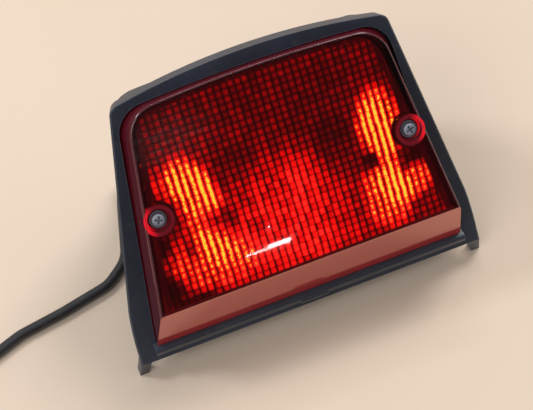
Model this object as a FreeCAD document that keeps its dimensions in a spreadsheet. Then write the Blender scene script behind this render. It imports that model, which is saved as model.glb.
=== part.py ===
import FreeCAD, Part

import math
import os

import Sketcher
from FreeCAD import Placement, Rotation, Vector

# Twin-bulb tail and brake lamp: a raked trapezoid lens with an upright lower wall, in a moulded black
# housing whose surround frames the lens on three sides and ends in two feet.
#
# Row frame: +Z up, +X to the lamp's right as seen by someone looking at the lens, +Y forwards along the
# vehicle, so the lens looks towards -Y and upwards. The origin is the centre of the four-stud pattern
# on the upright rear face.

DIMENSIONS = [
    # overall arrangement
    ("front_depth", 108.0, "rear face to the lens's upright lower wall"),
    ("base_drop", 59.0, "rear stud centre down to the soles of the feet"),
    ("face_rise", 64.0, "soles of the feet up to the lens's lower front edge"),
    ("face_incline", 40.0, "lens face, degrees above level"),
    ("surround_rise", 21.0, "soles up to the surround plane where it meets the lower wall"),
    ("surround_incline", 50.5, "surround plane, degrees above level"),
    # lens
    ("lens_half_bottom", 90.0, "half width of the lens face at its lower edge"),
    ("lens_half_top", 72.5, "half width at the top corners"),
    ("lens_length", 112.5, "lower edge to the top corners, along the face"),
    ("lens_arch", 3.5, "rise of the arched top edge"),
    ("lens_corner", 14.0, "top corner length"),
    ("lens_wall", 2.6, "wall thickness"),
    ("lens_edge_round", 1.6, "rounding of the face's edge"),
    ("lens_gap", 0.45, "gap between the lens and its opening"),
    ("lens_top_gap", 1.3, "gap above the lens, which lifts out at a slant"),
    ("lens_seat", 5.0, "depth of the lens's edge below the surround plane"),
    ("sill_height", 25.8, "soles up to the underside of the lower wall"),
    # surround
    ("opening_half_bottom", 95.3, "half width of the opening where it meets the lower wall"),
    ("opening_half_top", 77.5, "half width of the opening at its top corners"),
    ("opening_length", 142.1, "length of the opening along the surround"),
    ("surround_half_low", 104.0, "half width where the sides start to curve in"),
    ("surround_low", 28.0, "where the sides start to curve in, along the surround"),
    ("surround_half_top", 80.0, "half width at the top corners"),
    ("surround_length", 146.8, "length of the surround to its top corners"),
    ("surround_arch", 8.3, "rise of the arched top"),
    ("surround_corner", 4.0, "top corner length"),
    ("surround_depth", 8.0, "depth of the surround band"),
    ("surround_bevel", 0.8, "outer bevel"),
    ("foot_half_out", 108.3, "half width across the soles"),
    ("foot_half_in", 103.0, "half width between the soles"),
    ("foot_waist", 99.8, "half width between the feet at the step"),
    ("foot_step", 15.3, "height of the step above the soles"),
    ("foot_front", 4.0, "how far the feet and the lip stand in front of the lower wall"),
    ("foot_thick", 5.0, "foot thickness"),
    ("lip_low", 20.8, "underside of the lip above the soles"),
    # tub
    ("tub_half_bottom", 97.5, "half width of the tub at the surround's lower end"),
    ("tub_half_top", 79.0, "half width of the tub at its top"),
    ("tub_draft", 10.0, "tub side draft, degrees"),
    ("cavity_draft", 8.0, "cavity side draft, degrees"),
    ("ledge_width", 4.0, "seat for the lens gasket"),
    ("ledge_depth", 6.5, "gasket seat below the surround plane"),
    ("tub_front_rise", 19.0, "underside of the tub at the front"),
    ("tub_rear_rise", 0.5, "underside of the tub at the rear"),
    ("housing_wall", 2.8, "rear and bottom wall thickness"),
    # lens screws
    ("screw_half_span", 74.0, "half distance between the lens screws"),
    ("screw_up", 52.3, "lens screws above the lower edge, along the face"),
    ("well_radius", 6.6, "recess round each screw head"),
    ("well_depth", 4.5, "recess depth below the lens face"),
    ("well_wall", 1.8, "recess wall thickness"),
    ("boss_radius", 5.2, "lens boss and housing post radius"),
    ("boss_end", 23.7, "lens boss end below the face"),
    ("post_top", 24.0, "housing post top below the face"),
    ("screw_radius", 2.0, "screw shank radius"),
    ("screw_hole_radius", 2.3, "clearance hole radius"),
    ("screw_head_radius", 4.0, "screw head radius"),
    ("screw_head_height", 2.6, "screw head height"),
    ("screw_length", 27.3, "shank length under the head"),
    ("washer_radius", 4.8, "washer radius"),
    ("washer_thick", 0.8, "washer thickness"),
    ("insert_radius", 3.5, "brass insert radius"),
    ("insert_bore", 2.05, "brass insert bore radius"),
    ("insert_length", 8.0, "brass insert length"),
    # bulbs and sockets
    ("bulb_half_span", 46.0, "half distance between the bulbs"),
    ("bulb_height", 3.0, "bulb axis above the stud centre"),
    ("well_face", 22.0, "socket seat in front of the rear face"),
    ("socket_recess_radius", 22.0, "inside radius of the socket recess"),
    ("socket_hole_radius", 14.2, "housing hole for the socket"),
    ("socket_radius", 13.9, "socket barrel radius"),
    ("socket_flange", 18.0, "socket flange radius"),
    ("lug_radius", 16.8, "socket lug radius"),
    ("lug_angle", 34.0, "angle taken by each lug"),
    ("glass_radius", 12.4, "bulb envelope radius"),
    ("glass_wall", 0.8, "bulb envelope thickness"),
    ("cap_radius", 7.5, "bulb cap radius"),
    ("holder_radius", 8.5, "bulb holder sleeve outer radius"),
    ("filament_reach", 36.0, "socket seat to the filament"),
    # cable
    ("cable_radius", 3.25, "main cable sleeve radius"),
    ("branch_radius", 2.5, "branch sleeve radius"),
    ("wire_radius", 1.0, "single wire radius"),
    # rear fixings
    ("stud_half_x", 50.0, "half spacing of the studs across"),
    ("stud_half_z", 36.0, "half spacing of the studs up"),
    ("stud_radius", 3.0, "M6 stud radius"),
    ("stud_reach", 12.0, "stud length behind the rear face"),
    ("stud_boss_radius", 8.0, "inner boss radius"),
    ("stud_boss_depth", 12.0, "inner boss depth"),
]

doc = FreeCAD.newDocument("twin_bulb_tail_lamp")
sheet = doc.addObject("Spreadsheet::Sheet", "Dimensions")
for row, (alias, value, note) in enumerate(DIMENSIONS, start=1):
    sheet.set("A%d" % row, note)
    sheet.set("B%d" % row, str(value))
    sheet.setAlias("B%d" % row, alias)
doc.recompute()

PARTS = []
SIDES = {"left": -1, "right": 1}
FAR = 400.0


def dim(alias):
    """A driving dimension, read from the sheet."""
    return float(sheet.get(alias))


def keep(obj, label):
    """Registers an object as a sub-part of its own."""
    obj.Label = label
    PARTS.append(obj)
    return obj


def shape_part(label, shape):
    """A sub-part whose shape is made with Part's own functions."""
    obj = doc.addObject("Part::Feature", label)
    obj.Shape = shape
    return keep(obj, label)


# ---------------------------------------------------------------- frames

face_frame = Placement(
    Vector(0, -dim("front_depth"), dim("face_rise") - dim("base_drop")),
    Rotation(Vector(1, 0, 0), dim("face_incline")),
)
surround_frame = Placement(
    Vector(0, -dim("front_depth"), dim("surround_rise") - dim("base_drop")),
    Rotation(Vector(1, 0, 0), dim("surround_incline")),
)
SOLE = -dim("base_drop")
FRONT = -dim("front_depth")


def socket_frame(sign):
    """Origin on the socket seat, local +Z towards the rear face."""
    base = Vector(sign * dim("bulb_half_span"), -dim("well_face"), dim("bulb_height"))
    return Placement(base, Rotation(Vector(1, 0, 0), -90))


def screw_frame(sign):
    """Origin on the lens face at a screw, local +Z out of the face."""
    base = Vector(sign * dim("screw_half_span"), dim("screw_up"), 0)
    return face_frame.multiply(Placement(base, Rotation()))


# ---------------------------------------------------------------- shape helpers


def box(x0, x1, y0, y1, z0, z1):
    return Part.makeBox(x1 - x0, y1 - y0, z1 - z0, Vector(x0, y0, z0))


def placed(shape, placement):
    moved = shape.copy()
    moved.Placement = placement.multiply(moved.Placement)
    return moved


def disc(radius, z0, z1, x=0.0, y=0.0):
    return Part.makeCylinder(radius, z1 - z0, Vector(x, y, z0))


def ring(outer, inner, z0, z1):
    return disc(outer, z0, z1).cut(disc(inner, z0 - 1, z1 + 1))


def slab(frame, z0, z1):
    """Everything between two levels of a tilted frame."""
    return placed(box(-FAR, FAR, -FAR, FAR, z0, z1), frame)


def arched_outline(half_low, half_top, y_low, y_top, arch, corner, z):
    """A trapezoid with an arched top edge and rounded top corners, as a wire in a frame's own plane."""
    bend = (half_top**2 + arch**2) / (2 * arch)
    top = Vector(half_top, y_top, z)
    down = Vector(half_low - half_top, y_low - y_top, 0).normalize()
    lean = math.asin(half_top / bend)
    along = Vector(-math.cos(lean), math.sin(lean), 0)
    side_end = top + down * corner
    turn = math.asin((half_top - corner * math.cos(lean)) / bend)
    arch_end = Vector(bend * math.sin(turn), y_top + arch - bend * (1 - math.cos(turn)), z)
    half_angle = down.getAngle(along) / 2
    inward = (down + along).normalize()
    radius = corner * math.tan(half_angle)
    corner_mid = top + inward * (corner / math.cos(half_angle) - radius)

    def mirror(p):
        return Vector(-p.x, p.y, p.z)

    low = Vector(half_low, y_low, z)
    edges = [
        Part.makeLine(mirror(low), low),
        Part.makeLine(low, side_end),
        Part.Arc(side_end, corner_mid, arch_end).toShape(),
        Part.Arc(arch_end, Vector(0, y_top + arch, z), mirror(arch_end)).toShape(),
        Part.Arc(mirror(arch_end), mirror(corner_mid), mirror(side_end)).toShape(),
        Part.makeLine(mirror(side_end), mirror(low)),
    ]
    return Part.Wire(edges)


def loft(lower, upper):
    return Part.makeLoft([lower, upper], True, True)


def taper(half_low, half_top, y_low, y_top, distance):
    """Half width at a level y on the straight side through (half_low, y_low) and (half_top, y_top)."""
    return half_low + (half_top - half_low) * (distance - y_low) / (y_top - y_low)


# ---------------------------------------------------------------- housing


TUB_TOP = 3.2
TUB_LOW = -30.0


def tub_block(inset, draft, z_top, z_end, top_inset):
    """The drafted tub, as a solid between two levels below the surround plane."""
    outlines = []
    low = TUB_LOW
    for z in (z_top, z_end):
        shrink = inset + abs(z) * math.tan(math.radians(draft))
        half_bottom = taper(dim("tub_half_bottom"), dim("tub_half_top"), 0, dim("opening_length"), low)
        wire = arched_outline(
            half_bottom - shrink,
            dim("tub_half_top") - shrink,
            low,
            dim("opening_length") + TUB_TOP - top_inset,
            dim("lens_arch"),
            dim("lens_corner") - 1,
            z,
        )
        outlines.append(placed(wire, surround_frame))
    return loft(outlines[0], outlines[1])


def above_bottom(lift):
    """Everything above the tub's sloping underside, raised by lift."""
    run = dim("front_depth")
    fall = math.degrees(math.atan((dim("tub_front_rise") - dim("tub_rear_rise")) / run))
    frame = Placement(
        Vector(0, FRONT, SOLE + dim("tub_front_rise") + lift),
        Rotation(Vector(1, 0, 0), -fall),
    )
    return slab(frame, 0, FAR)


SURROUND_END = -7.0
SURROUND_DRAFT = 1.8
FOOT_FLARE = 2.2


def surround_outline(inset, z):
    """The surround's outer edge at a level of its frame, feet left out, drawn in by inset on the sides."""
    half_low = dim("surround_half_low") - inset
    half_top = dim("surround_half_top") - inset
    low = dim("surround_low")
    end = SURROUND_END
    length = dim("surround_length")
    top = arched_outline(half_low, half_top, low, length, dim("surround_arch"), dim("surround_corner"), z).Edges[1:]
    slope = (half_low - half_top) / (length - low)
    middle = half_low + slope * 9
    foot_edge = half_low + FOOT_FLARE
    half_way = (low + end) / 2
    right = Part.Arc(Vector(foot_edge, end, z), Vector(middle, half_way, z), Vector(half_low, low, z)).toShape()
    left = Part.Arc(Vector(-half_low, low, z), Vector(-middle, half_way, z), Vector(-foot_edge, end, z)).toShape()
    base = Part.makeLine(Vector(-foot_edge, end, z), Vector(foot_edge, end, z))
    return Part.Wire([base, right] + top + [left])


def surround_band():
    """The surround as a drafted band with a small outer bevel."""
    bevel = dim("surround_bevel")
    levels = ((bevel, 0.0), (0.0, -bevel), (SURROUND_DRAFT, -dim("surround_depth")))
    wires = [placed(surround_outline(inset, z), surround_frame) for inset, z in levels]
    return loft(wires[0], wires[1]).fuse(loft(wires[1], wires[2]))


def foot(sign):
    """A stepped foot, drawn in the upright plane across the lamp."""
    outer_top = dim("surround_half_low") + FOOT_FLARE
    step = SOLE + dim("foot_step")
    points = [
        (dim("foot_half_out"), SOLE),
        (outer_top, step + 2),
        (outer_top - 0.3, step + 8),
        (dim("opening_half_bottom"), step + 8),
        (dim("opening_half_bottom") + 0.7, step),
        (dim("foot_waist"), step),
        (dim("foot_half_in"), SOLE),
    ]
    y = FRONT - dim("foot_front")
    corners = [Vector(sign * x, y, z) for x, z in points]
    face = Part.Face(Part.makePolygon(corners + corners[:1]))
    behind_face = slab(surround_frame, -FAR, -dim("surround_bevel") / 2)
    return face.extrude(Vector(0, dim("foot_thick"), 0)).common(behind_face)


def lip():
    """The ledge under the lower wall, with a rounded front edge and a small centre tongue."""
    half = dim("opening_half_bottom") + 1
    y = FRONT - dim("foot_front")
    low = SOLE + dim("lip_low")
    top = SOLE + dim("sill_height") - 0.3
    nose = box(-half, half, y, FRONT - 0.3, low, top)
    upper = [e for e in nose.Edges if abs(e.Vertexes[0].Z - top) < 1e-6 and abs(e.Vertexes[-1].Z - top) < 1e-6]
    front = [e for e in upper if abs(e.Vertexes[0].Y - y) < 1e-6 and abs(e.Vertexes[-1].Y - y) < 1e-6]
    nose = nose.makeFillet(2.2, front)
    shelf = box(-half, half, FRONT - 0.4, FRONT + 9, low - 1.5, top - 1.3)
    tongue = box(-9, 9, y - 1.2, y + 1.0, low, top - 1.2)
    tongue = tongue.makeFillet(1.0, [e for e in tongue.Edges if abs(e.BoundBox.YMax - (y - 1.2)) < 1e-6])
    return nose.fuse(shelf).fuse(tongue)


def opening():
    """The recess in the surround that takes the lens's edge."""
    outlines = []
    for z in (6.0, -dim("ledge_depth")):
        wire = arched_outline(
            taper(dim("opening_half_bottom"), dim("opening_half_top"), 0, dim("opening_length"), -30),
            dim("opening_half_top"),
            -30,
            dim("opening_length") + dim("lens_top_gap"),
            dim("lens_arch"),
            dim("lens_corner"),
            z,
        )
        outlines.append(placed(wire, surround_frame))
    return loft(outlines[0], outlines[1])


POST_WEB = 14.0
MOULD_GAP = 0.02
STUD_HEAD_INSET = 2.0
STUD_HEAD_RADIUS = dim("stud_radius") + 2.0
STUD_HEAD_DEPTH = 2.95
STUD_ROOT_RADIUS = dim("stud_radius") + 0.5
STUD_TIP_CHAMFER = 0.8


def rear_housing():
    inside = box(-FAR, FAR, FRONT, 0, -FAR, FAR)
    tub = tub_block(0, dim("tub_draft"), -3.0, -140.0, 0)
    tub = tub.common(inside).common(above_bottom(0))
    body = tub.fuse(surround_band()).fuse(lip())
    for sign in SIDES.values():
        body = body.fuse(foot(sign))
    # nothing behind the rear face, nothing below the underside except the feet
    body = body.cut(box(-FAR, FAR, 0, FAR, -FAR, FAR))

    over_shelf = box(-FAR, FAR, FRONT - FAR, FAR, SOLE + dim("sill_height") - 1.6, FAR)
    top_space = opening().common(over_shelf).cut(box(-FAR, FAR, -FAR, FRONT - 0.3, -FAR, SOLE + dim("sill_height")))
    body = body.cut(top_space)

    wall = dim("housing_wall")
    space = tub_block(
        dim("ledge_width") + 1.8,
        dim("cavity_draft"),
        -dim("ledge_depth") + 0.1,
        -140.0,
        dim("ledge_width") + 1.5,
    )
    space = space.common(box(-FAR, FAR, FRONT + 6, -wall, -FAR, FAR)).common(above_bottom(wall))
    body = body.cut(space)

    # recesses that carry the sockets
    outside = inside.common(above_bottom(0))
    for sign in SIDES.values():
        frame = socket_frame(sign)
        recess = dim("socket_recess_radius")
        cup = placed(disc(recess + 2.4, -wall, dim("well_face")), frame)
        body = body.fuse(cup.common(outside))
        body = body.cut(placed(disc(recess, 0, dim("well_face") + 5), frame))
        body = body.cut(placed(disc(dim("socket_hole_radius"), -wall - 1, 1), frame))
        for index in range(3):
            body = body.cut(placed(lug(index, 4.0, 0.6, -wall - 1, 1), frame))

    # posts for the lens screws, grown out of the tub's sides
    within = tub_block(0.5, dim("tub_draft"), -3.0, -140.0, 0).common(inside).common(above_bottom(1.0))
    for sign in SIDES.values():
        frame = screw_frame(sign)
        post = placed(disc(dim("boss_radius"), -110.0, -dim("post_top")), frame)
        web_ends = sorted((0, sign * POST_WEB))
        web = placed(box(web_ends[0], web_ends[1], -1.5, 1.5, -110, -dim("post_top") - 3), frame)
        body = body.fuse(post.fuse(web).common(within))
        body = body.cut(placed(disc(dim("insert_radius"), -dim("post_top") - dim("insert_length"), 5), frame).common(
            slab(face_frame, -FAR, -dim("post_top") + 0.01)))
        body = body.cut(placed(disc(dim("screw_hole_radius"), -dim("post_top") - 24, -dim("post_top")), frame))

    # bosses round the rear studs, hollowed for the studs' roots and heads
    boss_depth = dim("stud_boss_depth")
    head_seat = STUD_HEAD_INSET - boss_depth
    for x, z in stud_centres():
        boss = Part.makeCylinder(dim("stud_boss_radius"), boss_depth, Vector(x, -boss_depth, z), Vector(0, 1, 0))
        root_hole = Part.makeCylinder(
            STUD_ROOT_RADIUS + MOULD_GAP, 1 - head_seat, Vector(x, head_seat, z), Vector(0, 1, 0)
        )
        head_hole = Part.makeCylinder(
            STUD_HEAD_RADIUS + MOULD_GAP, STUD_HEAD_DEPTH + 2 * MOULD_GAP,
            Vector(x, head_seat - MOULD_GAP, z), Vector(0, 1, 0),
        )
        body = body.fuse(boss.common(outside)).cut(root_hole).cut(head_hole)
    return body.removeSplitter()


def stud_centres():
    return [(sx * dim("stud_half_x"), sz * dim("stud_half_z")) for sx in (-1, 1) for sz in (-1, 1)]


def lug(index, extra_angle, extra_radius, z0, z1):
    """One of the three bayonet lugs of a socket, as a sector between two levels."""
    angle = dim("lug_angle") + extra_angle
    reach = dim("lug_radius") + extra_radius
    sector = Part.makeCylinder(reach, z1 - z0, Vector(0, 0, z0), Vector(0, 0, 1), angle)
    sector = sector.cut(disc(dim("socket_radius") - 1.5, z0 - 1, z1 + 1))
    sector.rotate(Vector(), Vector(0, 0, 1), 120 * index - angle / 2 + 90)
    return sector


shape_part("rear_housing", rear_housing())

# ---------------------------------------------------------------- lens


def lens_block(inset, face_drop, seat_drop, front_inset):
    """The lens's outer form, or its hollow when inset."""
    low_face = -40.0
    half_low = taper(dim("lens_half_bottom"), dim("lens_half_top"), 0, dim("lens_length"), low_face)
    front_wire = arched_outline(
        half_low - inset,
        dim("lens_half_top") - inset,
        low_face,
        dim("lens_length") - inset,
        dim("lens_arch"),
        dim("lens_corner") - inset * 0.6,
        -face_drop,
    )
    low_seat = -22.0
    gap = dim("lens_gap")
    half_low = taper(dim("opening_half_bottom"), dim("opening_half_top"), 0, dim("opening_length"), low_seat)
    seat_wire = arched_outline(
        half_low - gap - inset,
        dim("opening_half_top") - gap - inset,
        low_seat,
        dim("opening_length") - inset,
        dim("lens_arch"),
        dim("lens_corner") - inset * 0.6,
        -dim("lens_seat") - seat_drop,
    )
    block = loft(placed(seat_wire, surround_frame), placed(front_wire, face_frame))
    return block.common(box(-FAR, FAR, FRONT + front_inset, FAR, SOLE + dim("sill_height") - seat_drop, FAR))


def lens():
    wall = dim("lens_wall")
    outer = lens_block(0, 0, 0, 0)
    edges = []
    back = face_frame.inverse()
    for edge in outer.Edges:
        heights = [back.multVec(v.Point).z for v in edge.Vertexes]
        if max(abs(value) for value in heights) < 1e-4:
            edges.append(edge)
    outer = outer.makeFillet(dim("lens_edge_round"), edges)
    shell = outer.cut(lens_block(wall, wall, 3.0, wall))
    reach = dim("well_radius") + dim("well_wall")
    for sign in SIDES.values():
        frame = screw_frame(sign)
        well = disc(reach, -dim("well_depth") - 2.4, -0.2)
        boss = disc(dim("boss_radius"), -dim("boss_end"), -dim("well_depth"))
        shell = shell.fuse(placed(well.fuse(boss), frame))
        shell = shell.cut(placed(disc(dim("well_radius"), -dim("well_depth"), 5), frame))
        shell = shell.cut(placed(disc(dim("screw_hole_radius"), -dim("boss_end") - 1, 1), frame))
    return shell.removeSplitter()


shape_part("lens", lens())


def lens_gasket():
    """A foam strip round three sides of the gasket seat."""
    depth = dim("ledge_depth")
    thick = depth - dim("lens_seat") - 0.1
    outlines = []
    for inset in (1.0, dim("ledge_width") - 0.6):
        wire = arched_outline(
            taper(dim("opening_half_bottom"), dim("opening_half_top"), 0, dim("opening_length"), -20) - inset,
            dim("opening_half_top") - inset,
            -20,
            dim("opening_length") - inset,
            dim("lens_arch"),
            dim("lens_corner") - inset * 0.6,
            -depth + 0.05,
        )
        outlines.append(Part.Face(placed(wire, surround_frame)))
    band = outlines[0].cut(outlines[1])
    normal = surround_frame.Rotation.multVec(Vector(0, 0, thick))
    strip = band.extrude(normal)
    return strip.common(box(-FAR, FAR, FRONT + 6.5, FAR, SOLE + dim("sill_height") + 1, FAR))


shape_part("lens_gasket", lens_gasket().Solids[0])

sill = SOLE + dim("sill_height")
shape_part(
    "sill_seal",
    box(-88, 88, FRONT + 0.2, FRONT + 2.5, sill - 1.55, sill - 0.05),
)

# ---------------------------------------------------------------- reflector


BOWL_FOCUS = 28.0
BOWL_VERTEX = -8.0
BOWL_STEP = 10.5
REFLECTOR_LEVEL = 14.0
REFLECTOR_THICK = 1.8


def bowl(sign, growth):
    """A deep parabolic dish round a bulb, turned about the bulb's axis."""
    frame = socket_frame(sign)
    vertex = BOWL_VERTEX + growth
    points = []
    for step in range(9):
        depth = 0.5 + step * BOWL_STEP
        points.append(Vector(math.sqrt(4 * BOWL_FOCUS * depth) + growth, 0, vertex - depth))
    curve = Part.BSplineCurve()
    curve.interpolate(points)
    last = points[-1]
    first = points[0]
    profile = Part.Wire([
        curve.toShape(),
        Part.makeLine(last, Vector(0, 0, last.z)),
        Part.makeLine(Vector(0, 0, last.z), Vector(0, 0, first.z)),
        Part.makeLine(Vector(0, 0, first.z), first),
    ])
    solid = Part.Face(profile).revolve(Vector(), Vector(0, 0, 1), 360)
    return placed(solid, frame)


def reflector():
    """A flat metallised plate under the lens with two deep bowls."""
    level = REFLECTOR_LEVEL
    thick = REFLECTOR_THICK
    room = tub_block(dim("ledge_width") + 2.6, dim("cavity_draft"), -dim("ledge_depth"), -140.0, dim("ledge_width") + 2.4)
    room = room.common(above_bottom(dim("housing_wall") + 1.0))
    room = room.common(box(-FAR, FAR, FRONT + 9.0, -dim("well_face") - 8.0, -FAR, FAR))
    plate = slab(surround_frame, -level - thick, -level)
    below = slab(surround_frame, -FAR, -level)
    outer = bowl(-1, thick).fuse(bowl(1, thick)).common(below)
    inner = bowl(-1, 0).fuse(bowl(1, 0))
    body = plate.common(room).fuse(outer.common(room)).cut(inner)
    for sign in SIDES.values():
        body = body.cut(placed(disc(dim("boss_radius") + 1.2, -120, 10), screw_frame(sign)))
        hole = placed(disc(14.6, -60, 10), socket_frame(sign)).common(box(-FAR, FAR, -45, 0, -FAR, FAR))
        body = body.cut(hole)
    solids = sorted(body.Solids, key=lambda s: s.Volume)
    return solids[-1].removeSplitter()


shape_part("reflector", reflector())

# ---------------------------------------------------------------- parametric helpers


class Size:
    """A number together with the spreadsheet expression it comes from."""

    def __init__(self, value, text):
        self.value = value
        self.text = text

    def __add__(self, other):
        other = as_size(other)
        return Size(self.value + other.value, "(%s + %s)" % (self.text, other.text))

    def __sub__(self, other):
        other = as_size(other)
        return Size(self.value - other.value, "(%s - %s)" % (self.text, other.text))

    def __mul__(self, other):
        other = as_size(other)
        return Size(self.value * other.value, "(%s * %s)" % (self.text, other.text))

    def __neg__(self):
        return Size(-self.value, "(0 - %s)" % self.text)


def as_size(number):
    return number if isinstance(number, Size) else Size(float(number), str(float(number)))


def sized(alias):
    return Size(dim(alias), "Dimensions." + alias)


def origin_plane(body, role):
    return [item for item in body.Origin.OriginFeatures if item.Role == role][0]


def new_sketch(body, name, role, level=0.0):
    sketch = body.newObject("Sketcher::SketchObject", name)
    sketch.AttachmentSupport = (origin_plane(body, role), [""])
    sketch.MapMode = "FlatFace"
    sketch.AttachmentOffset = Placement(Vector(0, 0, level), Rotation())
    return sketch


def pin_point(sketch, geometry, point, x, y):
    """Holds one point of a sketch at (x, y), bound to the sheet where a size comes from it."""
    for kind, amount in (("DistanceX", x), ("DistanceY", y)):
        amount = as_size(amount)
        index = sketch.addConstraint(Sketcher.Constraint(kind, -1, 1, geometry, point, amount.value))
        if "Dimensions." in amount.text:
            sketch.setExpression("Constraints[%d]" % index, amount.text)


def polygon_sketch(body, name, role, points, level=0.0):
    """A closed outline through points, each given as numbers or sizes."""
    sketch = new_sketch(body, name, role, level)
    corners = [Vector(as_size(x).value, as_size(y).value, 0) for x, y in points]
    count = len(corners)
    for index in range(count):
        sketch.addGeometry(Part.LineSegment(corners[index], corners[(index + 1) % count]), False)
    for index in range(count):
        sketch.addConstraint(Sketcher.Constraint("Coincident", index, 2, (index + 1) % count, 1))
    for index, (x, y) in enumerate(points):
        pin_point(sketch, index, 1, x, y)
    return sketch


def circle_sketch(body, name, radii, level=0.0, centres=((0, 0),)):
    """Concentric circles of the given radii round each centre."""
    sketch = new_sketch(body, name, "XY_Plane", level)
    for cx, cy in centres:
        for radius in radii:
            radius = as_size(radius)
            middle = Vector(as_size(cx).value, as_size(cy).value, 0)
            geometry = sketch.addGeometry(Part.Circle(middle, Vector(0, 0, 1), radius.value), False)
            pin_point(sketch, geometry, 3, cx, cy)
            index = sketch.addConstraint(Sketcher.Constraint("Radius", geometry, radius.value))
            if "Dimensions." in radius.text:
                sketch.setExpression("Constraints[%d]" % index, radius.text)
    return sketch


def pad(body, sketch, length, name="Pad"):
    feature = body.newObject("PartDesign::Pad", name)
    feature.Profile = sketch
    length = as_size(length)
    feature.Length = length.value
    if "Dimensions." in length.text:
        feature.setExpression("Length", length.text)
    doc.recompute()
    return feature


def pocket(body, sketch, length, name="Pocket"):
    """Cuts downwards from a sketch, and makes sure that something was cut."""
    before = body.Shape.Volume
    feature = body.newObject("PartDesign::Pocket", name)
    feature.Profile = sketch
    feature.Length = as_size(length).value
    doc.recompute()
    if body.Shape.Volume > before - 1e-6:
        raise RuntimeError("%s cut nothing from %s" % (name, body.Label))
    return feature


def turned(label, points, name="Turned"):
    """A body of revolution about its own Z axis, from (radius, level) points."""
    body = doc.addObject("PartDesign::Body", label)
    sketch = polygon_sketch(body, name + "Profile", "XZ_Plane", points)
    feature = body.newObject("PartDesign::Revolution", name)
    feature.Profile = sketch
    feature.ReferenceAxis = (sketch, ["V_Axis"])
    feature.Angle = 360
    doc.recompute()
    return body


def tube(label, outer, inner, low, high):
    """A plain ring or sleeve between two levels."""
    return turned(label, [(inner, low), (outer, low), (outer, high), (inner, high)])


def polar(body, feature, count):
    pattern = body.newObject("PartDesign::PolarPattern", "Round")
    pattern.Originals = [feature]
    pattern.Axis = (feature.Profile[0], ["N_Axis"])
    pattern.Angle = 360
    pattern.Occurrences = count
    body.Tip = pattern
    doc.recompute()
    return pattern


def place(body, label, placement):
    body.Placement = placement
    return keep(body, label)


# ---------------------------------------------------------------- lens screws


def lens_screw(side, sign):
    """A pan-head cross-recess screw; its local origin is under the head."""
    head = sized("screw_head_radius")
    height = sized("screw_head_height")
    shank = sized("screw_radius")
    length = sized("screw_length")
    label = "lens_screw_" + side
    body = turned(label, [
        (0, -length),
        (shank - 1.0, -length),
        (shank, -length + 1.5),
        (shank, 0),
        (head, 0),
        (head, height * 0.45),
        (head - 0.5, height * 0.8),
        (head - 1.6, height),
        (0, height),
    ])
    wide, narrow = 2.3, 0.5
    cross = [
        (-wide, -narrow), (-narrow, -narrow), (-narrow, -wide), (narrow, -wide), (narrow, -narrow), (wide, -narrow),
        (wide, narrow), (narrow, narrow), (narrow, wide), (-narrow, wide), (-narrow, narrow), (-wide, narrow),
    ]
    sketch = polygon_sketch(body, "CrossRecess", "XY_Plane", cross, dim("screw_head_height"))
    pocket(body, sketch, 1.7)
    seat = Placement(Vector(0, 0, -dim("well_depth") + dim("washer_thick") + 0.02), Rotation(Vector(0, 0, 1), 20 * sign))
    place(body, label, screw_frame(sign).multiply(seat))


def screw_washer(side, sign):
    label = "screw_washer_" + side
    body = tube(label, sized("washer_radius"), sized("screw_radius") + 0.15, 0, sized("washer_thick"))
    seat = Placement(Vector(0, 0, -dim("well_depth") + 0.01), Rotation())
    place(body, label, screw_frame(sign).multiply(seat))


def post_insert(side, sign):
    label = "post_insert_" + side
    outer = sized("insert_radius") - 0.02
    length = sized("insert_length") - 0.1
    body = turned(label, [
        (sized("insert_bore"), -length),
        (outer - 0.5, -length),
        (outer, -length + 0.8),
        (outer, -length * 0.55),
        (outer - 0.4, -length * 0.5),
        (outer, -length * 0.45),
        (outer, 0),
        (sized("insert_bore"), 0),
    ])
    place(body, label, screw_frame(sign).multiply(Placement(Vector(0, 0, -dim("post_top") - 0.05), Rotation())))


for side, sign in SIDES.items():
    lens_screw(side, sign)
    screw_washer(side, sign)
    post_insert(side, sign)

# ---------------------------------------------------------------- sockets and bulbs
# Local frame of each: +Z towards the rear face, origin on the socket seat.

LOCK_TURN = 40.0


def socket_body(side, sign):
    label = "socket_body_" + side
    barrel = sized("socket_radius")
    flange = sized("socket_flange")
    sleeve = sized("holder_radius") + 0.03
    body = turned(label, [
        (sleeve, -9.0),
        (barrel, -9.0),
        (barrel, 1.7),
        (flange, 1.7),
        (flange, 4.4),
        (12.5, 4.8),
        (11.0, 9.0),
        (9.0, 9.0),
        (9.0, 15.5),
        (2.7, 15.5),
        (2.7, 12.6),
        (7.45, 12.6),
        (7.45, 6.2),
        (sleeve, 6.2),
    ])
    ear = polygon_sketch(body, "Lug", "XY_Plane", [
        (barrel - 1.0, -4.0), (sized("lug_radius") - 0.2, -4.0), (sized("lug_radius") - 0.2, 4.0), (barrel - 1.0, 4.0),
    ], -5.2)
    polar(body, pad(body, ear, 2.1, "LugPad"), 3)
    grip = polygon_sketch(body, "Grip", "XY_Plane", [
        (10.6, -1.3), (17.0, -1.3), (17.0, 1.3), (10.6, 1.3),
    ], 4.0)
    polar(body, pad(body, grip, 4.6, "GripPad"), 6)
    turn = Placement(Vector(), Rotation(Vector(0, 0, 1), 90 - LOCK_TURN))
    place(body, label, socket_frame(sign).multiply(turn))


def socket_seal(side, sign):
    label = "socket_seal_" + side
    body = tube(label, sized("socket_flange") - 0.6, sized("socket_hole_radius") + 0.2, 0.05, 1.65)
    place(body, label, socket_frame(sign))


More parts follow.
